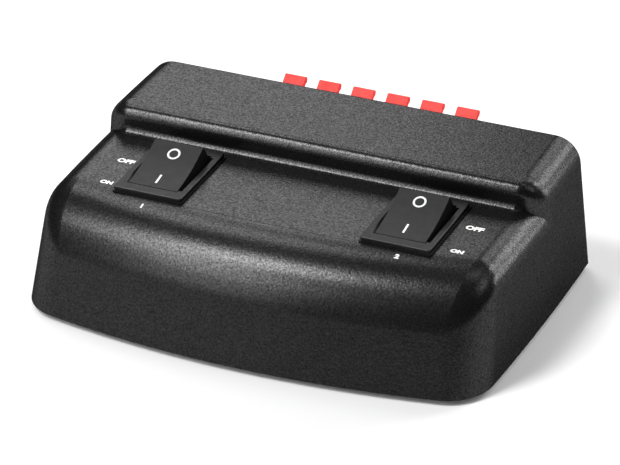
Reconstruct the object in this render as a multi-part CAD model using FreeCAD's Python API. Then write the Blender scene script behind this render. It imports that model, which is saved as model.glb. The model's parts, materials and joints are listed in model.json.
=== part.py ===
import FreeCAD, Part
import math
import os
from FreeCAD import Vector

# Two-way loudspeaker selector: a moulded box with two rocker switches on its
# front panel and two rows of push terminals on its back.
# Millimetres and degrees. X runs along the box, +Y points to its back, +Z up.
# The origin is on the surface the feet stand on, under the middle of the whole.

# Box
body_width = 130.0
body_depth = 84.9
foot_height = 1.5
panel_z = 30.8
top_z = 37.6
step_depth = 30.2
wall = 2.2
side_draft = 5.2
side_radius = 871.6
side_middle = 4.0
front_draft = 17.0
front_radius = 280.0
corner_radius = 12.6
corner_x = 46.0
side_round = 7.2
front_round = 18.6
step_round = 3.0
step_corner = 6.7
step_cove = 2.0
cove_half = 55.0
back_round = 1.0

# Inside of the box: leans of the flats in place of the roundings, and cuts
# across the corners as (turn, tilt, distance) of the skin there
front_leans = (41.3, 65.7)
side_lean = 47.6
front_corner_cuts = ((49.0, 12.0, 70.7), (47.0, 38.0, 66.3), (40.0, 62.0, 52.6))
step_corner_cuts = ((45.0, 3.0, 39.2), (50.0, 38.0, 53.6))

# Rocker switches, measured about the middle of each bezel
switch_x = 34.5
switch_depth = 47.0
bezel_length = 27.05
bezel_width = 19.05
bezel_height = 1.4
bezel_lip = 0.45
mouth_length = 21.0
mouth_width = 14.4
frame_length = 23.4
frame_width = 16.8
frame_drop = 14.2
frame_floor = 1.6
pivot_drop = 3.1
rocker_width = 13.7
rocker_tilt = 16.0
rocker_half = 8.45
rocker_rise = 7.0
rocker_dip = 0.79
rocker_skin = 1.2
pin_radius = 1.2
plunger_reach = 5.9
pole_x = 3.9
fulcrum_z = 21.0
contact_tilt = 8.0
contact_half = 6.9
blade_width = 4.8
blade_gauge = 0.8
blade_length = 5.5
throw_y = 6.5

# Push terminals: two rows of six. Reach is measured outwards from the back of
# the box, rise upwards from the middle line of a row
column_count = 6
column_pitch = 10.0
upper_row_z = 26.0
row_pitch = 15.0
cell_width = 7.4
cell_half = 5.9
face_reach = 3.0
recess_reach = -1.6
web_reach = -3.0
back_reach = -12.9
board_gauge = 1.6
port_width = 3.0
port_rise = -2.4
ramp_rise = -3.9
lever_width = 6.0
lever_gauge = 1.5
lever_angle = 42.0
hinge_reach = -8.0
hinge_rise = 2.2
trunnion_radius = 1.1
tip_reach = 12.06
tip_rise = 6.46
tip_radius = 0.95
tip_sink = 0.27
strip_rise = -1.3
strip_gauge = 0.5
strip_width = 3.6
tag_reach = -19.5
spring_reach = -11.35
spring_radius = 1.3
flange_width = 77.0
flange_gauge = 1.6
flange_low = 2.6
flange_high = 34.4

# Fastenings and feet
base_gauge = 2.0
boss_radius = 3.5
boss_pilot = 1.3
screw_radius = 1.45
screw_head = 2.8
back_boss = (54.0, 26.0)
front_boss = (50.0, -34.0)
back_foot = (41.0, 26.0)
front_foot = (38.0, -36.0)
foot_radius = 5.0
terminal_screw_x = 35.0

# Hook-up wire
wire_radius = 0.75
link_radius = 0.4

# Places that follow from the sizes above
lever_reach = tip_reach + tip_radius
back_y = (body_depth - lever_reach) / 2
front_y = back_y - body_depth
step_y = back_y - step_depth
switch_y = back_y - switch_depth
base_top = foot_height + base_gauge
pivot_z = panel_z - pivot_drop
frame_z = panel_z - frame_drop
bezel_z = panel_z + bezel_height
fit = 0.05
far = 200.0

document = FreeCAD.newDocument("selector")


def tangent(angle):
    return math.tan(math.radians(angle))


def box(x0, x1, y0, y1, z0, z1):
    return Part.makeBox(x1 - x0, y1 - y0, z1 - z0, Vector(x0, y0, z0))


def post(radius, x, y, z0, z1):
    return Part.makeCylinder(radius, z1 - z0, Vector(x, y, z0))


def cross_rod(radius, y, z, x0, x1):
    return Part.makeCylinder(radius, x1 - x0, Vector(x0, y, z), Vector(1, 0, 0))


def side_profile(edges, x0, x1):
    # Closed outline in the plane X = 0, pushed out from x0 to x1
    face = Part.Face(Part.Wire(Part.__sortEdges__(edges)))
    solid = face.extrude(Vector(x1 - x0, 0, 0))
    solid.translate(Vector(x0, 0, 0))
    return solid


def polygon(points):
    corners = [Vector(0, y, z) for y, z in points]
    return [
        Part.LineSegment(a, b).toShape()
        for a, b in zip(corners, corners[1:] + corners[:1])
    ]


def rounded_plate(width, length, radius, centre, z0, z1):
    # Flat plate with rounded corners, about a centre (x, y)
    x, y = centre
    plate = box(x - width / 2, x + width / 2, y - length / 2, y + length / 2, z0, z1)
    upright = [e for e in plate.Edges if e.BoundBox.ZLength > (z1 - z0) / 2]
    return plate.makeFillet(radius, upright)


def flat_screw(head_radius, head_height, length, seat, along):
    # Screw with a flat round head, the head's underside at the seat
    head = Part.makeCylinder(head_radius, head_height, seat - along * head_height, along)
    return head.fuse(Part.makeCylinder(screw_radius, length, seat, along))


# ---- Box ----

def wall_cone(radius, x, y, draft, inset, low, high):
    # Cone whose side is one of the leaning walls, between two heights
    lean = tangent(draft)
    foot = Vector(x, y, foot_height + low)
    return Part.makeCone(radius - inset - low * lean, radius - inset - high * lean, high - low, foot)


def drafted_block(inset, low, high):
    # Bowed front and sides and a flat back, the walls set in by an amount
    block = wall_cone(front_radius, 0, front_y + front_radius, front_draft, inset, low, high)
    for side in (-1, 1):
        x = side * (body_width / 2 - side_radius)
        block = block.common(wall_cone(side_radius, x, side_middle, side_draft, inset, low, high))
    return block.common(box(-far, far, -far, back_y - inset, -far, far))


def changing_fillet(shape, chosen):
    base = document.addObject("Part::Feature", "Block")
    base.Shape = shape
    fillet = document.addObject("Part::Fillet", "Rounded")
    fillet.Base = base
    fillet.Edges = chosen
    document.recompute()
    return fillet.Shape.copy()


def level_edges(shape, z):
    return [
        (number, edge) for number, edge in enumerate(shape.Edges, 1)
        if edge.BoundBox.ZLength < 0.01 and abs(edge.CenterOfMass.z - z) < 0.01
    ]


def corner_piece(block, z, limit_y, upright, front, side):
    # Right front corner, round in plan, whose top edge changes from the radius
    # of the front to the radius of the side
    turned = [
        e for e in block.Edges
        if e.BoundBox.ZLength > 5 and e.CenterOfMass.x > corner_x and e.CenterOfMass.y < limit_y
    ]
    piece = block.makeFillet(upright, turned)
    piece = piece.common(box(corner_x, far, -far, limit_y, -far, far))
    chosen = []
    for number, edge in level_edges(piece, z):
        middle = edge.CenterOfMass
        start = edge.valueAt(edge.FirstParameter)
        end = edge.valueAt(edge.LastParameter)
        if abs(middle.x - corner_x) < 0.01 or abs(middle.y - limit_y) < 0.01:
            continue
        if min(start.x, end.x) < corner_x + 0.1:
            chosen.append((number, front, front))
        elif max(start.y, end.y) > limit_y - 0.1:
            chosen.append((number, side, side))
        elif start.x < end.x:
            chosen.append((number, front, side))
        else:
            chosen.append((number, side, front))
    return changing_fillet(piece, chosen)


def rounded_form(block, z, limit_y, upright, front, side):
    # Block with a round edge about its flat top: the middle, the two sides and
    # the two front corners are rounded apart and joined
    top = [edge for number, edge in level_edges(block, z)]
    ahead = [e for e in top if abs(e.CenterOfMass.x) < 1 and e.CenterOfMass.y < limit_y]
    along = [e for e in top if abs(e.CenterOfMass.x) > 40]
    middle = block.makeFillet(front, ahead).common(box(-corner_x, corner_x, -far, far, -far, far))
    flanks = block.makeFillet(side, along).common(box(-far, far, limit_y, far, -far, far))
    right = corner_piece(block, z, limit_y, upright, front, side)
    left = right.mirror(Vector(0, 0, 0), Vector(1, 0, 0))
    return middle.multiFuse([flanks, right, left]).removeSplitter()


def outer_form():
    # Low front with the panel, and the raised back with its own round corners
    low = drafted_block(0.0, 0.0, panel_z - foot_height)
    low = rounded_form(low, panel_z, -20.0, corner_radius, front_round, side_round)
    low = low.common(box(-far, far, -far, step_y + 16, -far, far))
    raised = drafted_block(0.0, 0.0, top_z - foot_height).common(box(-far, far, step_y, far, -far, far))
    raised = rounded_form(raised, top_z, step_y + 14, step_corner, step_round, side_round)
    form = low.fuse(raised).removeSplitter()
    behind = [
        e for e in form.Edges
        if e.BoundBox.YMin > back_y - 0.01 and e.CenterOfMass.z > foot_height + 0.5
    ]
    return form.makeFillet(back_round, behind)


def stepped_wall(radius, x, y, draft, edge_z, rounding, steps, inset):
    # A leaning wall set in by an amount, and cones that touch the rounding of
    # its top edge at other leans in place of the round itself
    drop = math.radians(draft)
    centre_z = edge_z - rounding
    reach = radius - (rounding + (centre_z - foot_height) * math.sin(drop)) / math.cos(drop)
    z0 = foot_height - 1.0
    z1 = edge_z - inset
    form = None
    for lean in (draft,) + steps:
        angle = math.radians(lean)
        widths = [
            reach + ((rounding - inset) - (z - centre_z) * math.sin(angle)) / math.cos(angle)
            for z in (z0, z1)
        ]
        cone = Part.makeCone(widths[0], widths[1], z1 - z0, Vector(x, y, z0))
        form = form.common(cone) if form else cone
    return form


def stepped_block(edge_z, front_steps, inset):
    form = stepped_wall(
        front_radius, 0, front_y + front_radius, front_draft, edge_z, front_round, front_steps, inset
    )
    for side in (-1, 1):
        x = side * (body_width / 2 - side_radius)
        form = form.common(stepped_wall(
            side_radius, x, side_middle, side_draft, edge_z, side_round, (side_lean,), inset
        ))
    return form.common(box(-far, far, -far, back_y - inset, -far, far))


def slice_corners(form, cuts, inset):
    # Flat cuts across both front corners, each square to a direction given by
    # its turn from the front and its tilt, at a distance from the origin
    for turn, tilt, distance in cuts:
        for side in (-1, 1):
            direction = Vector(
                side * math.sin(math.radians(turn)) * math.cos(math.radians(tilt)),
                -math.cos(math.radians(turn)) * math.cos(math.radians(tilt)),
                math.sin(math.radians(tilt)),
            )
            slab = box(-far, far, -far, far, distance - inset, distance - inset + 100)
            slab.Placement = FreeCAD.Placement(
                Vector(0, 0, 0), FreeCAD.Rotation(Vector(0, 0, 1), direction)
            ).multiply(slab.Placement)
            form = form.cut(slab)
    return form


def inner_form(inset):
    # The box set in by an amount, its roundings taken in flat steps
    low = slice_corners(stepped_block(panel_z, front_leans, inset), front_corner_cuts, inset)
    low = low.common(box(-far, far, -far, step_y + 16, -far, far))
    raised = stepped_block(top_z, (), inset).common(box(-far, far, step_y + inset, far, -far, far))
    raised = slice_corners(raised, step_corner_cuts, inset)
    return low.fuse(raised).removeSplitter()


def cove_section(x, radius):
    # Section of the hollow fillet at the foot of the riser, sunk a little into
    # the panel and the riser so that the three become one
    sunk = 0.3
    front = Vector(x, step_y - radius, panel_z)
    upper = Vector(x, step_y, panel_z + radius)
    dip = radius * (1 - math.sqrt(0.5))
    corners = [
        front,
        Vector(x, step_y - radius, panel_z - sunk),
        Vector(x, step_y + sunk, panel_z - sunk),
        Vector(x, step_y + sunk, panel_z + radius),
        upper,
    ]
    edges = [Part.LineSegment(a, b).toShape() for a, b in zip(corners, corners[1:])]
    edges.append(Part.Arc(upper, Vector(x, step_y - dip, panel_z + dip), front).toShape())
    return Part.Wire(edges)


def make_cove():
    # The fillet keeps its radius along the riser and runs out at both ends
    fade = cove_half + 2.3
    parts = []
    for x0, r0, x1, r1 in (
        (-fade, 0.1, -cove_half, step_cove),
        (-cove_half, step_cove, cove_half, step_cove),
        (cove_half, step_cove, fade, 0.1),
    ):
        parts.append(Part.makeLoft([cove_section(x0, r0), cove_section(x1, r1)], True, True))
    return parts[0].fuse(parts[1]).fuse(parts[2])


def corner_places(place):
    x, y = place
    return [(x, y), (-x, y)]


def bosses():
    # Four hollow pillars for the base screws, each tied to the walls by two webs
    parts = []
    for x, y in corner_places(back_boss) + corner_places(front_boss):
        outward = math.copysign(1, x)
        away = math.copysign(1, y)
        parts.append(post(boss_radius, x, y, base_top + fit, top_z))
        side = sorted((x, x + outward * 12))
        ahead = sorted((y, y + away * 12))
        parts.append(box(side[0], side[1], y - 0.6, y + 0.6, base_top + 4, top_z))
        parts.append(box(x - 0.6, x + 0.6, ahead[0], ahead[1], base_top + 4, top_z))
    return parts


def terminal_places():
    return [(s * terminal_screw_x, z) for s in (-1, 1) for z in (upper_row_z, upper_row_z - row_pitch)]


def stiffeners():
    # Ribs under the raised top and short pillars behind the terminal screws
    parts = []
    for x in (-20.0, 0.0, 20.0):
        parts.append(box(x - 0.75, x + 0.75, step_y + 1, back_y - 14.5, top_z - 7, top_z))
    for x in (-14.0, 14.0):
        parts.append(box(x - 0.75, x + 0.75, front_y + 8, step_y + 1, panel_z - 5, panel_z))
    for x, z in terminal_places():
        parts.append(Part.makeCylinder(3.0, 7, Vector(x, back_y - 8, z), Vector(0, 1, 0)))
    return parts


def make_upper_housing():
    outer = outer_form().fuse(make_cove())
    shell = outer.cut(inner_form(wall))
    fittings = bosses() + stiffeners()
    inside = fittings[0].multiFuse(fittings[1:]).common(inner_form(wall / 2))
    shell = shell.fuse(inside)
    for side in (-1, 1):
        x = side * switch_x
        half_x = frame_width / 2 + 0.1
        half_y = frame_length / 2 + 0.1
        shell = shell.cut(box(x - half_x, x + half_x, switch_y - half_y, switch_y + half_y, 20, far))
    block_half = column_count * column_pitch / 2 + 1.9
    low = upper_row_z - row_pitch - cell_half - 1.6
    high = upper_row_z + cell_half + 1.6
    shell = shell.cut(box(-block_half, block_half, back_y - 9, back_y + 9, low, high))
    for x, y in corner_places(back_boss) + corner_places(front_boss):
        shell = shell.cut(post(boss_pilot + 0.17, x, y, 0, 18))
    for x, z in terminal_places():
        pilot = Part.makeCylinder(screw_radius + 0.02, 12, Vector(x, back_y - 6.5, z), Vector(0, 1, 0))
        shell = shell.cut(pilot)
    groove_y = back_y - 61.3
    inner_edge = switch_x - bezel_width / 2
    groove = box(-inner_edge, inner_edge, groove_y - 0.08, groove_y + 0.08, panel_z - 0.12, panel_z + 1)
    return shell.cut(groove)


def make_base_plate():
    gap = wall + 0.2
    core = inner_form(gap)
    plate = core.common(box(-far, far, -far, far, foot_height, base_top))
    rim = core.common(box(-far, far, -far, far, base_top - 0.5, base_top + 2.5))
    rim = rim.cut(inner_form(gap + 1.3))
    rim = rim.cut(box(-40, 40, 15, far, 0, far))
    for x, y in corner_places(back_boss) + corner_places(front_boss):
        rim = rim.cut(post(boss_radius + 0.4, x, y, 0, 20))
        rim = rim.cut(box(min(x, x * 2), max(x, x * 2), y - 1.2, y + 1.2, base_top + 1, 20))
        rim = rim.cut(box(x - 1.2, x + 1.2, min(y, y * 2), max(y, y * 2), base_top + 1, 20))
    plate = plate.fuse(rim)
    for x in (-12.0, 0.0, 12.0):
        plate = plate.fuse(box(x - 0.6, x + 0.6, -40, -20, base_top - 0.5, base_top + 1.5))
    plate = plate.fuse(box(-30, 30, -30.6, -29.4, base_top - 0.5, base_top + 1.5))
    for x, y in corner_places(back_boss) + corner_places(front_boss):
        plate = plate.cut(post(screw_radius + 0.15, x, y, 0, 20))
        plate = plate.cut(post(screw_head + 0.05, x, y, 0, foot_height + 1.2))
    for x, y in corner_places(back_foot) + corner_places(front_foot):
        plate = plate.cut(post(foot_radius + 0.1, x, y, 0, foot_height + 0.5))
    return plate


def make_base_screws():
    screws = []
    for x, y in corner_places(back_boss) + corner_places(front_boss):
        screws.append(flat_screw(screw_head, 1.15, 10.8, Vector(x, y, foot_height + 1.18), Vector(0, 0, 1)))
    return Part.makeCompound(screws)


def make_rubber_feet():
    feet = []
    for x, y in corner_places(back_foot) + corner_places(front_foot):
        feet.append(post(foot_radius, x, y, 0, foot_height + 0.48))
    return Part.makeCompound(feet)


# ---- Push terminals ----

def column_x(column):
    return (column - (column_count + 1) / 2) * column_pitch


def cell_box(x, row_z, half_width, reach0, reach1, rise0, rise1):
    return box(x - half_width, x + half_width, back_y + reach0, back_y + reach1, row_z + rise0, row_z + rise1)


def cells():
    for row_z in (upper_row_z, upper_row_z - row_pitch):
        for column in range(1, column_count + 1):
            yield column_x(column), row_z


def wire_port(x, row_z):
    # Arched hole in the web behind the recess, wide enough for a bared cable end
    arch = Part.makeCylinder(
        port_width / 2, 4, Vector(x, back_y + web_reach - 1, row_z + port_rise), Vector(0, 1, 0)
    )
    legs = cell_box(x, row_z, port_width / 2, web_reach - 1, recess_reach + 1, ramp_rise, port_rise)
    return arch.fuse(legs)


def cable_ramp(x, row_z):
    # Floor of a recess: slopes up from the face to the foot of the port
    foot = row_z - cell_half
    ramp = side_profile(
        polygon([
            (back_y + face_reach, foot - 0.5),
            (back_y + face_reach, foot),
            (back_y + recess_reach, row_z + ramp_rise),
            (back_y + recess_reach - 0.5, row_z + ramp_rise),
            (back_y + recess_reach - 0.5, foot - 0.5),
        ]),
        x - cell_width / 2 - 0.3,
        x + cell_width / 2 + 0.3,
    )
    return ramp


def make_terminal_block():
    half = column_count * column_pitch / 2 + 1.7
    low = upper_row_z - row_pitch - cell_half - 1.4
    high = upper_row_z + cell_half + 1.4
    block = box(-half, half, back_y + back_reach, back_y + face_reach, low, high)
    outer = [e for e in block.Edges if e.BoundBox.YMin > back_y]
    block = block.makeFillet(0.6, outer)
    flange = box(-flange_width / 2, flange_width / 2, 0, flange_gauge, flange_low, flange_high)
    ends = [e for e in flange.Edges if e.BoundBox.YLength > 1]
    flange = flange.makeFillet(2.5, ends)
    flange.translate(Vector(0, back_y + 0.01, 0))
    block = block.fuse(flange)
    half_cell = cell_width / 2
    for x, row_z in cells():
        recess = cell_box(x, row_z, half_cell, recess_reach, face_reach + 1, -cell_half, cell_half)
        passage = cell_box(x, row_z, half_cell, web_reach - 0.1, recess_reach + 0.1, -0.7, cell_half)
        chamber = cell_box(x, row_z, half_cell, back_reach - 1, web_reach, -cell_half, cell_half)
        block = block.cut(recess.fuse(passage).fuse(chamber))
        block = block.fuse(cable_ramp(x, row_z))
        block = block.cut(wire_port(x, row_z))
    for row_z in (upper_row_z, upper_row_z - row_pitch):
        z = row_z + hinge_rise
        y = back_y + hinge_reach
        end = column_x(column_count) + 4.6
        slot = box(-end, end, back_y + back_reach - 1, y, z - trunnion_radius - fit, z + trunnion_radius + fit)
        block = block.cut(slot.fuse(cross_rod(trunnion_radius + fit, y, z, -end, end)))
    for x, z in terminal_places():
        block = block.cut(Part.makeCylinder(screw_radius + 0.1, 9, Vector(x, back_y - 3, z), Vector(0, 1, 0)))
    for x in (-20.0, 0.0, 20.0):
        block = block.fuse(stake(x))
    return block.removeSplitter()


def stake(x):
    # Square peg between the rows, pushed through the board and headed over
    z = upper_row_z - row_pitch / 2
    y = back_y + back_reach
    outer = y - board_gauge
    shank = box(x - 0.8, x + 0.8, outer - 0.1, y + 0.4, z - 0.8, z + 0.8)
    head = box(x - 1.4, x + 1.4, outer - 0.72, outer - 0.02, z - 1.4, z + 1.4)
    return shank.fuse(head)


def make_terminal_back_board():
    y = back_y + back_reach
    low = upper_row_z - row_pitch - cell_half - 1.0
    high = upper_row_z + cell_half + 1.0
    board = box(-31, 31, y - board_gauge, y - 0.01, low, high)
    for row_z in (upper_row_z, upper_row_z - row_pitch):
        z = row_z + hinge_rise
        end = column_x(column_count) + 4.5
        comb = box(-end, end, y - 0.5, back_y + hinge_reach - trunnion_radius - 0.15, z - 1.05, z + 1.05)
        for column in range(1, column_count + 1):
            x = column_x(column)
            comb = comb.cut(box(x - 3.75, x + 3.75, y - 0.01, back_y, z - 2, z + 2))
        board = board.fuse(comb)
    half = strip_width / 2 + 0.02
    lift = strip_gauge / 2 + 0.02
    for x, row_z in cells():
        slot = cell_box(x, row_z, half, back_reach - 3, back_reach + 1, strip_rise - lift, strip_rise + lift)
        board = board.cut(slot)
    z = upper_row_z - row_pitch / 2
    for x in (-20.0, 0.0, 20.0):
        board = board.cut(box(x - 0.85, x + 0.85, y - 3, y + 1, z - 0.85, z + 0.85))
    return board


def make_terminal_screws():
    screws = []
    for x, z in terminal_places():
        seat = Vector(x, back_y + flange_gauge + 0.02, z)
        screws.append(flat_screw(2.7, 1.6, 7.5, seat, Vector(0, -1, 0)))
    return Part.makeCompound(screws)


def make_contact_strips(row_z):
    # Plated strips: flat in the cells, with a narrower solder tag behind the board
    strips = []
    for column in range(1, column_count + 1):
        x = column_x(column)
        lift = strip_gauge / 2
        tag_start = back_reach - board_gauge - 0.8
        flat = cell_box(x, row_z, strip_width / 2, tag_start, web_reach - 0.1, strip_rise - lift, strip_rise + lift)
        tag = cell_box(x, row_z, 1.3, tag_reach, tag_start + 0.2, strip_rise - lift, strip_rise + lift)
        eye = cell_box(x, row_z, 0.5, tag_reach + 1.0, tag_reach + 2.2, strip_rise - 2, strip_rise + 2)
        strips.append(flat.fuse(tag).removeSplitter().cut(eye))
    return Part.makeCompound(strips)


def lever_outline():
    # Tab seen from the side: level from the hinge outwards, a bend taken in
    # short flats, then straight up to the tip
    angle = math.radians(lever_angle)
    bend = 5.5
    steps = 4
    centre_reach = tip_reach - 2.2 * math.cos(angle) - bend * math.sin(angle)
    centre_rise = tip_rise - 2.2 * math.sin(angle) + bend * math.cos(angle)
    over = []
    under = []
    for radius, side in ((bend - lever_gauge / 2, over), (bend + lever_gauge / 2, under)):
        side.append((hinge_reach, centre_rise - radius))
        for step in range(steps + 1):
            turn = angle * step / steps
            side.append((centre_reach + radius * math.sin(turn), centre_rise - radius * math.cos(turn)))
        last_reach, last_rise = side[-1]
        side.append((last_reach + 2.2 * math.cos(angle), last_rise + 2.2 * math.sin(angle)))
    return over + under[::-1]


def make_lever(x, row_z):
    # Bent tab, beaded at its tip, on a hub with two trunnions. A gate hangs from
    # the tab with a window for cable and strip, and a short arm takes the spring
    half = lever_width / 2
    tab = side_profile(polygon(lever_outline()), -half, half)
    bead = cross_rod(tip_radius, tip_reach, tip_rise - tip_sink, -half, half)
    hub = box(-half, half, hinge_reach - 1.5, hinge_reach + 1.5, hinge_rise - 1.4, hinge_rise + 1.6)
    pins = cross_rod(trunnion_radius, hinge_reach, hinge_rise, -half - 1.4, half + 1.4)
    gate = box(-half, half, -4.5, -3.25, -3.3, 3.0)
    window = box(-2.1, 2.1, -6, -2, strip_rise - strip_gauge / 2 - 0.2, 0.6)
    arm = box(-1.8, 1.8, -12.6, hinge_reach, 1.1, 2.2)
    lever = tab.fuse(bead).fuse(hub).fuse(pins).fuse(gate).fuse(arm).cut(window)
    lever = lever.removeSplitter()
    lever.translate(Vector(x, back_y, row_z))
    return lever


def coil(radius, gauge, height, turns):
    # Coil of square wire about Z, standing on Z = 0, wound in short straights
    steps = 6
    total = int(turns * steps)
    half = gauge / 2
    places = []
    for step in range(total + 1):
        turn = 2 * math.pi * step / steps
        z = half + 0.05 + (height - gauge - 0.1) * step / total
        places.append(Vector((radius - half) * math.cos(turn), (radius - half) * math.sin(turn), z))
    start = places[0]
    corners = [
        start + Vector(half, 0, half),
        start + Vector(-half, 0, half),
        start + Vector(-half, 0, -half),
        start + Vector(half, 0, -half),
    ]
    section = Part.makePolygon(corners + corners[:1])
    return Part.makePolygon(places).makePipeShell([section], True, False, 1)


def make_lever_spring(x, row_z):
    spring_low = 2.2
    height = cell_half - spring_low - 0.04
    spring = coil(spring_radius, 0.35, height, 3)
    spring.translate(Vector(x, back_y + spring_reach, row_z + spring_low + 0.02))
    return spring


# ---- Rocker switches ----

def place_switch(shape, side):
    shape.translate(Vector(side * switch_x, switch_y, 0))
    return shape


def make_switch_frame(side):
    # Bezel and body in one moulding: a stepped flange round the mouth, a box
    # below the panel with latches at both ends, and slots in its floor
    middle = (0.0, 0.0)
    half_width = frame_width / 2
    half_length = frame_length / 2
    body = box(-half_width, half_width, -half_length, half_length, frame_z, panel_z + 0.2)
    lip_width = bezel_width + 2 * bezel_lip
    lip_length = bezel_length + 2 * bezel_lip
    lip = rounded_plate(lip_width, lip_length, 0.8, middle, panel_z + 0.01, panel_z + 0.35)
    bezel = rounded_plate(bezel_width, bezel_length, 0.6, middle, panel_z + 0.3, bezel_z)
    top = [e for e in bezel.Edges if e.BoundBox.ZMin > bezel_z - 0.01]
    bezel = bezel.makeChamfer(0.15, top)
    frame = body.fuse(lip).fuse(bezel)
    latch_top = panel_z - wall - 0.1
    for end in (-1, 1):
        y = end * half_length
        corners = [(y - end * 0.3, 24.5), (y, 24.5), (y + end * 0.9, latch_top), (y - end * 0.3, latch_top)]
        frame = frame.fuse(side_profile(polygon(corners), -4, 4))
    frame = frame.cut(box(
        -mouth_width / 2, mouth_width / 2, -mouth_length / 2, mouth_length / 2, frame_z + frame_floor, far
    ))
    # Sloped inner faces of the two long rails
    slope = 0.9
    for hand in (-1, 1):
        edge = hand * mouth_width / 2
        wedge = Part.Face(Part.makePolygon([
            Vector(edge - hand * 0.1, 0, bezel_z + 0.1),
            Vector(edge + hand * (slope + 0.1), 0, bezel_z + 0.1),
            Vector(edge - hand * 0.1, 0, bezel_z - slope - 0.1),
            Vector(edge - hand * 0.1, 0, bezel_z + 0.1),
        ])).extrude(Vector(0, mouth_length - 1.6, 0))
        wedge.translate(Vector(0, -(mouth_length - 1.6) / 2, 0))
        frame = frame.cut(wedge)
    frame = frame.cut(cross_rod(pin_radius + fit, 0, pivot_z, -far, far))
    for pole in (-pole_x, pole_x):
        for y in (0.0, throw_y):
            half_x = blade_width / 2 + 0.02
            half_y = blade_gauge / 2 + 0.02
            frame = frame.cut(box(pole - half_x, pole + half_x, y - half_y, y + half_y, 0, frame_z + 3))
    return place_switch(frame.removeSplitter(), side)


def rocker_points(inset):
    # Rocker seen from the side, about its hinge pin: a dished top between two
    # raised ends, end faces that swell a little, and a shallow keel below
    half = rocker_half - inset
    rise = rocker_rise - inset
    heel = 10.1 - inset
    keel = -2.2 - inset
    belly = 9.6 - inset
    return [
        (-half, rise), (0.0, rise - rocker_dip), (half, rise), (belly, 4.1), (heel, 0.4),
        (3.4, keel), (-3.4, keel), (-heel, 0.4), (-belly, 4.1),
    ]


def rocker_outline():
    points = [Vector(0, y, z) for y, z in rocker_points(0.0)]
    edges = [Part.Arc(points[0], points[1], points[2]).toShape()]
    edges.append(Part.Arc(points[2], points[3], points[4]).toShape())
    edges.append(Part.LineSegment(points[4], points[5]).toShape())
    edges.append(Part.LineSegment(points[5], points[6]).toShape())
    edges.append(Part.LineSegment(points[6], points[7]).toShape())
    edges.append(Part.Arc(points[7], points[8], points[0]).toShape())
    return edges


def tilt_rocker(shape, side):
    # From the level position to the one it rests in, front end down
    shape.rotate(Vector(0, 0, 0), Vector(1, 0, 0), rocker_tilt)
    shape.translate(Vector(0, 0, pivot_z))
    return place_switch(shape, side)


def make_rocker(side):
    half = rocker_width / 2
    rocker = side_profile(rocker_outline(), -half, half)
    hollow = side_profile(polygon(rocker_points(rocker_skin)), -half + rocker_skin, half - rocker_skin)
    rocker = rocker.cut(hollow)
    for pole in (-pole_x, pole_x):
        rocker = rocker.fuse(box(pole - 2.0, pole + 2.0, -2.0, 2.0, -2.2, 5.6))
        rocker = rocker.cut(post(pin_radius, pole, 0, -4, 3.5))
    rocker = rocker.cut(box(-half + rocker_skin, half - rocker_skin, -3.0, 3.0, -4, -2.2))
    stub = half + 1.05
    pins = cross_rod(pin_radius, 0, 0, -stub, -half + 0.5).fuse(cross_rod(pin_radius, 0, 0, half - 0.5, stub))
    rocker = rocker.fuse(pins)
    return tilt_rocker(rocker.removeSplitter(), side)


def make_plungers(side):
    # Two diameters, the thin end towards the rocking contact
    pins = []
    for pole in (-pole_x, pole_x):
        nose = post(0.4, pole, 0, -plunger_reach, 0.9 - plunger_reach)
        pins.append(nose.fuse(post(pin_radius - 0.03, pole, 0, 0.9 - plunger_reach, 0.4)))
    return tilt_rocker(Part.makeCompound(pins), side)


def make_plunger_springs(side):
    springs = []
    for pole in (-pole_x, pole_x):
        spring = coil(1.0, 0.3, 3.0, 3)
        spring.translate(Vector(pole, 0, 0.45))
        springs.append(spring)
    return tilt_rocker(Part.makeCompound(springs), side)


def make_blades(side):
    # Four blades: the middle ones end in a knife edge that carries a rocking
    # contact, the rear ones in a pad with a contact button
    blades = []
    low = frame_z - blade_length
    for pole in (-pole_x, pole_x):
        half = blade_width / 2
        gauge = blade_gauge / 2
        middle = box(pole - half, pole + half, -gauge, gauge, low, frame_z + 3)
        edge = [
            (-gauge, frame_z + 2), (gauge, frame_z + 2), (gauge, fulcrum_z - 1),
            (0.08, fulcrum_z), (-0.08, fulcrum_z), (-gauge, fulcrum_z - 1),
        ]
        knife = side_profile(polygon(edge), pole - 1.6, pole + 1.6)
        blades.append(middle.fuse(knife).removeSplitter())
        rear = box(pole - half, pole + half, throw_y - gauge, throw_y + gauge, low, frame_z + 2.2)
        pad = box(pole - 1.6, pole + 1.6, throw_y - 2.4, throw_y + gauge, fulcrum_z - 2.5, fulcrum_z - 1.7)
        neck = box(pole - 1.6, pole + 1.6, throw_y - gauge, throw_y + gauge, frame_z + 2, fulcrum_z - 1.7)
        button = post(1.1, pole, throw_y - 1.0, fulcrum_z - 1.75, fulcrum_z - 1.45)
        blades.append(rear.fuse(neck).fuse(pad).fuse(button).removeSplitter())
    return place_switch(Part.makeCompound(blades), side)


def make_rocking_contact(side, pole):
    strip = box(pole - 1.6, pole + 1.6, -contact_half, contact_half, 0.05, 0.65)
    button = post(1.1, pole, throw_y - 1.0, -0.3, 0.3)
    contact = strip.fuse(button)
    contact.rotate(Vector(0, 0, 0), Vector(1, 0, 0), -contact_tilt)
    contact.translate(Vector(0, 0, fulcrum_z))
    return place_switch(contact.removeSplitter(), side)


# ---- Wiring ----

def make_wire(points, radius):
    # Insulated wire, six-sided in section and mitred where it turns
    path = Part.makePolygon([Vector(*p) for p in points])
    start = Vector(*points[0])
    along = Vector(*points[1]) - start
    turn = FreeCAD.Rotation(Vector(0, 0, 1), along)
    corners = []
    for side in range(7):
        angle = math.radians(side * 60)
        corner = Vector(radius * math.cos(angle), radius * math.sin(angle), 0)
        corners.append(start + turn.multVec(corner))
    return path.makePipeShell([Part.makePolygon(corners)], True, False, 1)


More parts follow.
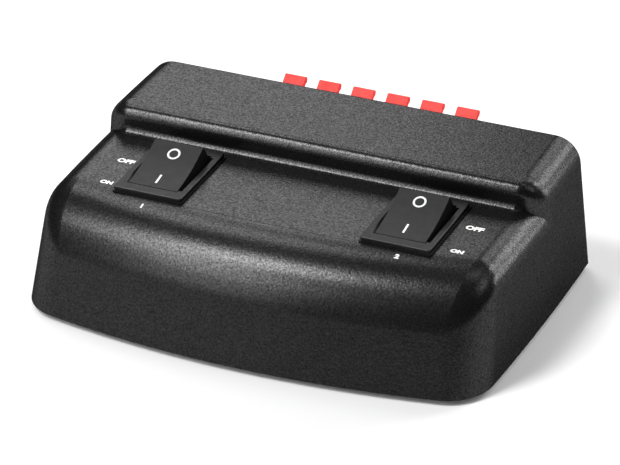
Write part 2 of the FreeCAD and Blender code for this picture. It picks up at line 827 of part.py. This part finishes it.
def blade_end(side, pole, throw):
    # Where a wire starts: at a rear blade's back face, or under a middle blade
    x = side * switch_x + pole
    if throw:
        return (x, switch_y + throw_y + blade_gauge / 2 + fit, frame_z - 3.0)
    return (x, switch_y, frame_z - blade_length - 0.3)


def tag_end(column, shift):
    return (column_x(column) + shift, back_y + tag_reach - fit, upper_row_z + strip_rise)


def make_output_wire(side, pole, column):
    x, y, z = blade_end(side, pole, True)
    tag_x, tag_y, tag_z = tag_end(column, 0.0)
    return make_wire([
        (x, y, z),
        (x, y + 7.5, z + 0.5),
        (tag_x + side, tag_y - 7.5, tag_z - 0.8),
        (tag_x, tag_y, tag_z),
    ], wire_radius)


def make_feed_wire(side, pole, column, shift, sag):
    # Down from a middle blade, along the floor and up to an input tag
    x, y, z = blade_end(side, pole, False)
    tag_x, tag_y, tag_z = tag_end(column, shift)
    return make_wire([
        (x, y, z),
        (x - side * 1.0, y + 1.5, z - 4.6),
        (x - side * 9.0, y + 5.5, z - 4.9),
        (x * 0.45 + tag_x * 0.55, tag_y - 13.5 + sag, z + 0.5 - sag),
        (tag_x + side * 2.2, tag_y - 9.0 + sag, tag_z - 4.0),
        (tag_x, tag_y - 4.5, tag_z - 0.3),
        (tag_x, tag_y, tag_z),
    ], wire_radius)


def make_link_wire(columns, above):
    # Bare wire that joins three solder tags of the lower row, with a short leg
    # to each: one wire bridges the tags from above, the other from behind
    tag_y = back_y + tag_reach
    z = upper_row_z - row_pitch + strip_rise
    gap = 2.0
    if above:
        base = Vector(0, tag_y + 0.8, z + strip_gauge / 2 + 0.02)
        leg = Vector(0, 0, 1)
    else:
        base = Vector(0, tag_y - 0.02, z)
        leg = Vector(0, -1, 0)
    centre = base + leg * gap
    x0 = column_x(columns[0]) - link_radius
    x1 = column_x(columns[-1]) + link_radius
    bus = box(
        x0, x1, centre.y - link_radius, centre.y + link_radius, centre.z - link_radius, centre.z + link_radius
    )
    across = link_radius * 0.9
    for column in columns:
        x = column_x(column)
        half_y = across * (1 - abs(leg.y))
        half_z = across * (1 - abs(leg.z))
        bus = bus.fuse(box(
            x - across, x + across,
            min(base.y, centre.y) - half_y, max(base.y, centre.y) + half_y,
            min(base.z, centre.z) - half_z, max(base.z, centre.z) + half_z,
        ))
    return bus.removeSplitter()


def save(name, shape):
    if not shape.isValid():
        print("invalid", name)
    shape.exportStep("parts/" + name + ".step")


def build():
    os.makedirs("parts", exist_ok=True)
    save("upper_housing", make_upper_housing())
    save("base_plate", make_base_plate())
    save("base_screws", make_base_screws())
    save("rubber_feet", make_rubber_feet())
    save("terminal_block", make_terminal_block())
    save("terminal_back_board", make_terminal_back_board())
    save("terminal_screws", make_terminal_screws())
    rows = {"red": upper_row_z, "black": upper_row_z - row_pitch}
    for colour, row_z in rows.items():
        save(colour + "_contact_strips", make_contact_strips(row_z))
        for column in range(1, column_count + 1):
            x = column_x(column)
            save(f"{colour}_lever_{column}", make_lever(x, row_z))
            save(f"{colour}_lever_spring_{column}", make_lever_spring(x, row_z))
    for number, side in ((1, -1), (2, 1)):
        switch = f"switch_{number}_"
        save(switch + "frame", make_switch_frame(side))
        save(switch + "rocker", make_rocker(side))
        save(switch + "plungers", make_plungers(side))
        save(switch + "plunger_springs", make_plunger_springs(side))
        save(switch + "blades", make_blades(side))
        save(switch + "left_contact", make_rocking_contact(side, -pole_x))
        save(switch + "right_contact", make_rocking_contact(side, pole_x))
    save("switch_1_left_output_wire", make_output_wire(-1, -pole_x, 1))
    save("switch_1_right_output_wire", make_output_wire(-1, pole_x, 2))
    save("switch_2_left_output_wire", make_output_wire(1, -pole_x, 5))
    save("switch_2_right_output_wire", make_output_wire(1, pole_x, 6))
    save("switch_1_left_feed_wire", make_feed_wire(-1, -pole_x, 3, -0.85, 0.0))
    save("switch_1_right_feed_wire", make_feed_wire(-1, pole_x, 4, -0.85, 3.0))
    save("switch_2_left_feed_wire", make_feed_wire(1, -pole_x, 3, 0.85, 0.0))
    save("switch_2_right_feed_wire", make_feed_wire(1, pole_x, 4, 0.85, 0.0))
    save("left_link_wire", make_link_wire((1, 3, 5), True))
    save("right_link_wire", make_link_wire((2, 4, 6), False))


build()
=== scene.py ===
import bpy
import bmesh
import json
import math
from mathutils import Matrix, Vector
from mathutils.bvhtree import BVHTree


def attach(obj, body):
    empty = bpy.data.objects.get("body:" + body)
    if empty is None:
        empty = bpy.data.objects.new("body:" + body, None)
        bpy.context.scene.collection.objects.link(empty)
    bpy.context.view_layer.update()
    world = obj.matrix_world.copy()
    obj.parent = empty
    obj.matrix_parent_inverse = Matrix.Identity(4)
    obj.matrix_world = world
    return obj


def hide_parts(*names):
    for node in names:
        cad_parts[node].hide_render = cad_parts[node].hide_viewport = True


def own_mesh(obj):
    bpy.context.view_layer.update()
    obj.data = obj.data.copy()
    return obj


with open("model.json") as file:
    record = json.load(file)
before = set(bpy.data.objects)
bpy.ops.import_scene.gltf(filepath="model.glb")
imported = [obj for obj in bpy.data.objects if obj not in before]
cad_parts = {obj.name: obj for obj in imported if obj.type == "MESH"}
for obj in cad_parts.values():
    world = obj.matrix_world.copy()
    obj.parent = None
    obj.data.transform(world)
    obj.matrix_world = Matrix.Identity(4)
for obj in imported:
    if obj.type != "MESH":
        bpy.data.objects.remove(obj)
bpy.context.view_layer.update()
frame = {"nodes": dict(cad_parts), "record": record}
nodes = frame["nodes"]
mm = 0.001
white = (1, 1, 1, 1)
print("frame loaded:", len(nodes), "nodes")


# colours are written as sRGB hex and turned to linear here
def linearColour(hexValue):
    channels = [int(hexValue[i:i + 2], 16) / 255 for i in (1, 3, 5)]
    linear = [c / 12.92 if c <= 0.04045 else ((c + 0.055) / 1.055) ** 2.4 for c in channels]
    return (*linear, 1.0)


# adds one node; an input is given by its name, or by its number where two share
# a name, and a value that is a socket becomes a link
def addNode(material, kind, inputs=None, **settings):
    tree = material.node_tree
    node = tree.nodes.new(kind)
    for name, value in settings.items():
        setattr(node, name, value)
    for name, value in (inputs or {}).items():
        if isinstance(value, bpy.types.NodeSocket):
            tree.links.new(value, node.inputs[name])
        else:
            node.inputs[name].default_value = value
    return node


# noise keeps mostly between these two values, so they are mapped to the full range
noiseRange = {"low": 0.3, "high": 0.7}
cloudRange = {"low": 0.35, "high": 0.65}


# the noise in a socket, mapped so that it runs from the first value to the second
def spreadNoise(material, noise, values):
    spread = addNode(material, "ShaderNodeMapRange", {
        "Value": noise, "From Min": noiseRange["low"], "From Max": noiseRange["high"],
        "To Min": values[0], "To Max": values[1]})
    return spread.outputs["Result"]


# one surface from its look, with sizes in mm: two near colours mixed by a broad
# cloud, a fine grain that lifts the surface, and a roughness that varies with it
def makeSurface(name, look):
    material = bpy.data.materials.new(name)
    material.use_nodes = True
    material.node_tree.nodes.clear()
    place = addNode(material, "ShaderNodeTexCoord").outputs["Object"]
    stretched = addNode(material, "ShaderNodeMapping", {
        "Vector": place, "Scale": look.get("stretch", (1, 1, 1))})
    grain = addNode(material, "ShaderNodeTexNoise", {
        "Vector": stretched.outputs["Vector"], "Scale": 1 / (look["grain"] * mm),
        "Detail": look.get("detail", 2.0), "Roughness": 0.55})
    cloud = addNode(material, "ShaderNodeTexNoise", {
        "Vector": place, "Scale": 1 / (look["cloud"] * mm), "Detail": 2.0})
    colour = addNode(material, "ShaderNodeValToRGB", {"Fac": cloud.outputs["Fac"]})
    darkEnd, lightEnd = colour.color_ramp.elements
    darkEnd.position, darkEnd.color = cloudRange["low"], linearColour(look["dark"])
    lightEnd.position, lightEnd.color = cloudRange["high"], linearColour(look["light"])
    rough = spreadNoise(material, grain.outputs["Fac"], look["rough"])
    bump = addNode(material, "ShaderNodeBump", {
        "Height": grain.outputs["Fac"], "Strength": look["lift"],
        "Distance": look["depth"] * mm})
    if "gloss" in look:
        surface = addEvenGloss(
            material, look, place, colour.outputs["Color"], rough, bump.outputs["Normal"])
    else:
        shader = addNode(material, "ShaderNodeBsdfPrincipled", {
            "Base Color": colour.outputs["Color"], "Roughness": rough,
            "Normal": bump.outputs["Normal"], "Metallic": look.get("metal", 0.0),
            "IOR": look.get("ior", 1.5)})
        surface = shader.outputs["BSDF"]
    addNode(material, "ShaderNodeOutputMaterial", {"Surface": surface})
    return material


# the facing value from which the shine fades, and what is left of it at the rim
rimFade = {"start": 0.55, "left": 0.2}


# the shine of a grained surface is broken into specks. A deep grain shades itself at
# low angles, so the shine fades towards the rim instead of rising there
def addEvenGloss(material, look, place, colour, rough, normal):
    matt = addNode(material, "ShaderNodeBsdfDiffuse", {"Color": colour, "Normal": normal})
    specks = addNode(material, "ShaderNodeTexNoise", {
        "Vector": place, "Scale": 1 / (look["speck"] * mm), "Detail": 1.0})
    speckGloss = spreadNoise(material, specks.outputs["Fac"], look["gloss"])
    angle = addNode(material, "ShaderNodeLayerWeight", {"Blend": 0.5})
    rim = addNode(material, "ShaderNodeMapRange", {
        "Value": angle.outputs["Facing"], "From Min": rimFade["start"], "From Max": 1.0,
        "To Min": 1.0, "To Max": rimFade["left"]})
    gloss = addNode(
        material, "ShaderNodeMath", {0: speckGloss, 1: rim.outputs["Result"]},
        operation="MULTIPLY")
    shine = addNode(material, "ShaderNodeBsdfAnisotropic", {
        "Color": gloss.outputs["Value"], "Roughness": rough, "Normal": normal})
    both = addNode(
        material, "ShaderNodeAddShader", {0: matt.outputs["BSDF"], 1: shine.outputs["BSDF"]})
    return both.outputs["Shader"]


# ABS moulded in a spark-eroded tool: an even matt grain that breaks highlights
# into specks. The real grain is about 0.15 mm and is drawn coarser, so it shows
sparkErodedAbs = makeSurface("moulded ABS, spark-eroded grain", {
    "dark": "#101011", "light": "#141415", "grain": 0.65, "cloud": 30, "detail": 2.5,
    "rough": (0.23, 0.31), "lift": 1.0, "depth": 0.038, "speck": 0.45,
    "gloss": (0.015, 0.045)})
# nylon from a fine-ground tool: deep black with a faint, wide sheen
groundNylon = makeSurface("moulded nylon, fine-ground tool", {
    "dark": "#0b0b0c", "light": "#0e0e0f", "grain": 0.9, "cloud": 12,
    "rough": (0.42, 0.50), "lift": 0.05, "depth": 0.01, "speck": 2.0,
    "gloss": (0.033, 0.037)})
# glass-filled nylon as moulded: dull, faintly mottled by its fibres
filledNylon = makeSurface("moulded nylon, glass-filled", {
    "dark": "#151516", "light": "#1b1b1c", "grain": 0.35, "cloud": 6,
    "rough": (0.45, 0.60), "lift": 0.25, "depth": 0.05, "ior": 1.53})
# coral red polypropylene levers: bright, slightly waxy, with faint flow marks
redPolypropylene = makeSurface("moulded polypropylene, coral red", {
    "dark": "#ef443d", "light": "#f7504a", "grain": 0.8, "cloud": 5,
    "rough": (0.46, 0.56), "lift": 0.08, "depth": 0.03, "speck": 1.0,
    "gloss": (0.016, 0.022)})
# the same levers in black: a little shinier, with the same faint flow marks
blackPolypropylene = makeSurface("moulded polypropylene, black", {
    "dark": "#121213", "light": "#18181a", "grain": 0.8, "cloud": 5,
    "rough": (0.36, 0.46), "lift": 0.08, "depth": 0.03, "ior": 1.49})
# rubber feet with the dull bloom of cut sheet
cutRubber = makeSurface("rubber, cut sheet", {
    "dark": "#161616", "light": "#1f1f1e", "grain": 0.3, "cloud": 3,
    "rough": (0.75, 0.90), "lift": 0.4, "depth": 0.06, "ior": 1.52})
# screws plated with black zinc: dark metal with an uneven, dulled shine
blackenedSteel = makeSurface("steel, black zinc plated", {
    "dark": "#2a2a2c", "light": "#3a3a3d", "grain": 0.2, "cloud": 1.5,
    "rough": (0.35, 0.50), "lift": 0.15, "depth": 0.02, "metal": 1.0})
# spring wire keeps fine lines from drawing
drawnSteel = makeSurface("steel, drawn spring wire", {
    "dark": "#9a9a9c", "light": "#b5b5b6", "grain": 0.12, "cloud": 1.0,
    "stretch": (1, 1, 3), "rough": (0.22, 0.35), "lift": 0.10, "depth": 0.01, "metal": 1.0})
# tin plate over rolled brass strip: pale grey with a soft shine
tinnedBrass = makeSurface("brass strip, tin plated", {
    "dark": "#b3b1a8", "light": "#c9c7be", "grain": 0.2, "cloud": 2.0,
    "stretch": (4, 1, 1), "rough": (0.28, 0.40), "lift": 0.08, "depth": 0.01, "metal": 1.0})
# bare stamped brass: warm yellow with faint rolling marks
stampedBrass = makeSurface("brass, stamped", {
    "dark": "#b08f47", "light": "#c9a85c", "grain": 0.2, "cloud": 2.0,
    "stretch": (4, 1, 1), "rough": (0.25, 0.38), "lift": 0.08, "depth": 0.01, "metal": 1.0})
# tinned copper wire: pale and even, a little warmer than the strip
tinnedCopper = makeSurface("copper wire, tinned", {
    "dark": "#b4afa8", "light": "#cbc5bd", "grain": 0.15, "cloud": 1.5,
    "rough": (0.25, 0.38), "lift": 0.08, "depth": 0.01, "metal": 1.0})
# phenolic paper board: warm brown with a paper grain along the sheet
phenolicBoard = makeSurface("phenolic paper board", {
    "dark": "#6b431f", "light": "#835730", "grain": 0.5, "cloud": 5,
    "stretch": (0.3, 1, 1), "rough": (0.45, 0.60), "lift": 0.12, "depth": 0.03, "ior": 1.6})
# extruded PVC sleeves: smooth and half matt, in red and in off-white
redPvc = makeSurface("PVC sleeve, red", {
    "dark": "#a81512", "light": "#bb1d19", "grain": 0.5, "cloud": 4,
    "rough": (0.35, 0.48), "lift": 0.06, "depth": 0.02, "ior": 1.53})
whitePvc = makeSurface("PVC sleeve, white", {
    "dark": "#d3d1ca", "light": "#dedcd6", "grain": 0.5, "cloud": 4,
    "rough": (0.35, 0.48), "lift": 0.06, "depth": 0.02, "ior": 1.53})
# pad-printed white ink: matt, and a little uneven in tone
padPrintInk = makeSurface("pad-printed ink, white", {
    "dark": "#f2f2f0", "light": "#fbfbf9", "grain": 0.3, "cloud": 1.0,
    "rough": (0.5, 0.65), "lift": 0.1, "depth": 0.01, "ior": 1.5})
print("materials made")


slotFinish = {
    "housing_plastic": sparkErodedAbs, "switch_plastic": groundNylon,
    "terminal_plastic": filledNylon, "red_plastic": redPolypropylene,
    "black_plastic": blackPolypropylene, "rubber": cutRubber,
    "screw_steel": blackenedSteel, "spring_steel": drawnSteel,
    "plated_strip": tinnedBrass, "brass": stampedBrass, "copper": tinnedCopper,
    "board": phenolicBoard, "red_sleeve": redPvc, "white_sleeve": whitePvc,
}
for part in frame["record"]["subparts"]:
    node = nodes[part["node"]]
    node.data.materials.clear()
    node.data.materials.append(slotFinish[part["material_slot"]])


def addPiece(name, mesh):
    piece = bpy.data.objects.new(name, mesh)
    bpy.context.scene.collection.objects.link(piece)
    return piece


# the coil over each lever shortens towards its seat as the lever is pressed; a copy of
# each coil, fixed to the housing, stands for its node and is not shortened. Seat heights in
# mm
leverCoils = {"columns": 6, "seats": {"red": 31.9, "black": 16.9}, "keep": 0.61}


def makeLeverCoil(colour, column):
    nodeName = f"{colour}_lever_spring_{column}"
    piece = addPiece(f"{colour}LeverCoil{column}", nodes[nodeName].data.copy())
    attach(piece, "housing")
    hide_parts(nodeName)
    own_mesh(piece)


for colour, seat in leverCoils["seats"].items():
    for column in range(1, leverCoils["columns"] + 1):
        makeLeverCoil(colour, column)
print("lever coils made")


# printed marks are drawn flat, then laid on the surface below them by looking
# straight down at it, so they follow the panel where it starts to round over.
# Sizes in mm
printLaying = {"lift": 0.03, "longEdge": 0.3, "cuts": 3, "lookFrom": 200}


def surfaceBelow(nodeName):
    source = nodes[nodeName]
    corners = [source.matrix_world @ v.co for v in source.data.vertices]
    faces = [tuple(p.vertices) for p in source.data.polygons]
    return BVHTree.FromPolygons(corners, faces)


def layOnSurface(mesh, tree):
    fine = bmesh.new()
    fine.from_mesh(mesh)
    bmesh.ops.triangulate(fine, faces=fine.faces[:])
    longEdges = [e for e in fine.edges if e.calc_length() > printLaying["longEdge"] * mm]
    bmesh.ops.subdivide_edges(fine, edges=longEdges, cuts=printLaying["cuts"])
    bmesh.ops.triangulate(fine, faces=fine.faces[:])
    fine.to_mesh(mesh)
    fine.free()
    for vertex in mesh.vertices:
        above = Vector((vertex.co.x, vertex.co.y, printLaying["lookFrom"] * mm))
        hit = tree.ray_cast(above, Vector((0, 0, -1)))[0]
        vertex.co.z = hit.z + printLaying["lift"] * mm


def finishPrint(name, mesh, body, tree):
    layOnSurface(mesh, tree)
    mesh.materials.clear()
    mesh.materials.append(padPrintInk)
    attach(addPiece(name, mesh), body)


# name, letters, centre x and y and cap height of each word on the panel, in mm; the
# font's capitals stand 0.7 of its size
panelPrint = {
    "bold": 0.13, "widen": 1.06, "capShare": 0.7, "curveSteps": 6,
    "words": (
        ("offLeft", "OFF", -47.9, -9.3, 1.8), ("onLeft", "ON", -47.6, -21.4, 1.45),
        ("offRight", "OFF", 49.35, -7.65, 1.8), ("onRight", "ON", 49.6, -20.1, 1.45),
        ("numberLeft", "1", -34.15, -28.4, 1.35), ("numberRight", "2", 36.35, -27.5, 1.45)),
}


def makeWord(name, letters, x, y, height, tree):
    curve = bpy.data.curves.new(name, "FONT")
    curve.body = letters
    curve.size = height * mm / panelPrint["capShare"]
    curve.offset = panelPrint["bold"] * mm
    curve.align_x = "CENTER"
    curve.align_y = "CENTER"
    curve.resolution_u = panelPrint["curveSteps"]
    holder = addPiece(name + "Curve", curve)
    bpy.context.view_layer.update()
    drawn = holder.evaluated_get(bpy.context.evaluated_depsgraph_get())
    mesh = bpy.data.meshes.new_from_object(drawn)
    bpy.data.objects.remove(holder)
    widened = Matrix.Diagonal((panelPrint["widen"], 1, 1, 1))
    mesh.transform(Matrix.Translation((x * mm, y * mm, 0)) @ widened)
    finishPrint(name, mesh, "housing", tree)


housingTree = surfaceBelow("upper_housing")
for name, letters, x, y, height in panelPrint["words"]:
    makeWord(name, letters, x, y, height, housingTree)
print("panel print laid")


# the ring and the bar on each rocker, placed along its tilted face in mm
rockerPrint = {
    "ringRadius": 1.75, "ringStroke": 0.52, "ringSegments": 48,
    "barLength": 3.6, "barWidth": 0.55, "barSteps": 6,
    "rise": 6.47, "tilt": 16.0, "pivotY": -11.055,
    "marks": (
        (1, {"ringX": -34.5, "ringAlong": 4.75, "barX": -34.5, "barAlong": -4.95}),
        (2, {"ringX": 34.3, "ringAlong": 5.3, "barX": 34.4, "barAlong": -4.5})),
}
rockerTurn = math.radians(rockerPrint["tilt"])


# shrinks a flat shape to its view from above, moves it to its place and lays it down
def placeOnRocker(shape, name, x, along, body, tree):
    offset = rockerPrint["rise"] * math.sin(rockerTurn)
    y = rockerPrint["pivotY"] + along * math.cos(rockerTurn) - offset
    bmesh.ops.scale(shape, vec=(1, math.cos(rockerTurn), 1), verts=shape.verts[:])
    bmesh.ops.translate(shape, vec=(x * mm, y * mm, 0), verts=shape.verts[:])
    mesh = bpy.data.meshes.new(name)
    shape.to_mesh(mesh)
    shape.free()
    finishPrint(name, mesh, body, tree)


def makeRing(name, x, along, body, tree):
    shape = bmesh.new()
    bmesh.ops.create_circle(
        shape, cap_ends=True, segments=rockerPrint["ringSegments"],
        radius=rockerPrint["ringRadius"] * mm)
    face = shape.faces[:]
    bmesh.ops.inset_region(
        shape, faces=face, thickness=rockerPrint["ringStroke"] * mm,
        use_boundary=True, use_even_offset=True)
    bmesh.ops.delete(shape, geom=face, context="FACES")
    placeOnRocker(shape, name, x, along, body, tree)


def makeBar(name, x, along, body, tree):
    shape = bmesh.new()
    bmesh.ops.create_grid(
        shape, x_segments=1, y_segments=rockerPrint["barSteps"], size=0.5)
    barSize = (rockerPrint["barWidth"] * mm, rockerPrint["barLength"] * mm, 1)
    bmesh.ops.scale(shape, vec=barSize, verts=shape.verts[:])
    placeOnRocker(shape, name, x, along, body, tree)


for number, mark in rockerPrint["marks"]:
    body = f"switch_{number}_rocker"
    tree = surfaceBelow(body)
    makeRing(f"offRing{number}", mark["ringX"], mark["ringAlong"], body, tree)
    makeBar(f"onBar{number}", mark["barX"], mark["barAlong"], body, tree)
print("rocker print laid")


# plain white floor, with a faint glow for the camera, shine and glass only, so that
# it shows as the background and still takes a soft shadow. Reach in m from the middle
paperFloor = {"colour": "#f4f4f4", "glow": 0.05, "reach": 4.0}


def makeFloorPaper():
    material = bpy.data.materials.new("matt white paper")
    material.use_nodes = True
    material.node_tree.nodes.clear()
    shader = addNode(
        material, "ShaderNodeBsdfDiffuse", {"Color": linearColour(paperFloor["colour"])})
    glow = addNode(
        material, "ShaderNodeEmission", {"Color": white, "Strength": paperFloor["glow"]})
    both = addNode(
        material, "ShaderNodeAddShader",
        {0: shader.outputs["BSDF"], 1: glow.outputs["Emission"]})
    path = addNode(material, "ShaderNodeLightPath")
    seen = path.outputs["Is Camera Ray"]
    for ray in ("Is Glossy Ray", "Is Transmission Ray"):
        either = addNode(
            material, "ShaderNodeMath", {0: seen, 1: path.outputs[ray]}, operation="MAXIMUM")
        seen = either.outputs["Value"]
    pick = addNode(
        material, "ShaderNodeMixShader",
        {"Fac": seen, 1: shader.outputs["BSDF"], 2: both.outputs["Shader"]})
    addNode(material, "ShaderNodeOutputMaterial", {"Surface": pick.outputs["Shader"]})
    return material


def makeFloor():
    shape = bmesh.new()
    bmesh.ops.create_grid(shape, x_segments=1, y_segments=1, size=paperFloor["reach"])
    mesh = bpy.data.meshes.new("floor")
    shape.to_mesh(mesh)
    shape.free()
    mesh.materials.append(makeFloorPaper())
    addPiece("floor", mesh)


makeFloor()


# a direction from the object: azimuth from its front, minus is left, and elevation
def direction(azimuth, elevation):
    turn = math.radians(azimuth)
    rise = math.radians(elevation)
    return Vector((
        math.sin(turn) * math.cos(rise), -math.cos(turn) * math.cos(rise), math.sin(rise)))


# soft boxes round the object: azimuth, elevation, width and height in m, power in W.
# All stand at one distance and aim at one height above the floor, both in m
studio = {
    "distance": 1.1, "aimHeight": 0.015, "worldLight": 0.01,
    "lamps": (
        ("frontLeftHigh", -47, 62, 0.26, 0.26, 5.2),
        ("frontLeftMiddle", -48, 48, 0.36, 0.30, 3.4),
        ("frontLeftLower", -31, 38, 0.30, 0.32, 2.3),
        ("frontLeftLow", -28, 20, 0.34, 0.38, 1.35),
        ("behindRightLow", 136, 10, 0.32, 0.30, 3.2),
        ("behindRightHigh", 150, 27, 0.36, 0.38, 4.4),
        ("rightHigh", 98, 48, 0.44, 0.50, 1.3),
        ("overheadRight", 140, 74, 0.34, 0.34, 0.6),
        ("behindMiddle", 176, 35, 0.40, 0.36, 2.4),
        ("behindLeftLow", -151, 28, 0.35, 0.46, 2.8),
        ("behindLeftHigh", -134, 53, 0.36, 0.34, 2.4)),
}


def makeLamp(name, azimuth, elevation, width, height, power):
    place = studio["distance"] * direction(azimuth, elevation)
    light = bpy.data.lights.new(name, "AREA")
    light.shape = "RECTANGLE"
    light.size = width
    light.size_y = height
    light.energy = power
    aim = Vector((0, 0, studio["aimHeight"])) - place
    turned = aim.to_track_quat("-Z", "Y").to_matrix().to_4x4()
    addPiece(name, light).matrix_world = Matrix.Translation(place) @ turned


for lamp in studio["lamps"]:
    makeLamp(*lamp)

world = bpy.data.worlds.new("studio")
world.use_nodes = True
background = world.node_tree.nodes["Background"]
background.inputs["Color"].default_value = white
background.inputs["Strength"].default_value = studio["worldLight"]
bpy.context.scene.world = world
bpy.context.scene.view_settings.view_transform = "Standard"
print("studio lit")


# camera: long lens from the front right and above, turned a little about its axis.
# Place and near clipping in m, lens and sensor width in mm
camera = {
    "place": (0.39696, -0.87816, 0.55999), "azimuth": 24.315, "elevation": 29.486,
    "roll": -0.84, "lens": 247.04, "sensor": 36, "near": 0.05,
}


def makeCamera():
    back = direction(camera["azimuth"], camera["elevation"])
    turn = math.radians(camera["azimuth"])
    roll = math.radians(camera["roll"])
    right = Vector((math.cos(turn), math.sin(turn), 0))
    up = back.cross(right)
    sideways = right * math.cos(roll) + up * math.sin(roll)
    upwards = up * math.cos(roll) - right * math.sin(roll)
    data = bpy.data.cameras.new("camera")
    data.lens = camera["lens"]
    data.sensor_width = camera["sensor"]
    data.clip_start = camera["near"]
    holder = addPiece("camera", data)
    turned = Matrix((sideways, upwards, back)).transposed().to_4x4()
    holder.matrix_world = Matrix.Translation(camera["place"]) @ turned
    bpy.context.scene.camera = holder


makeCamera()
print("camera set")
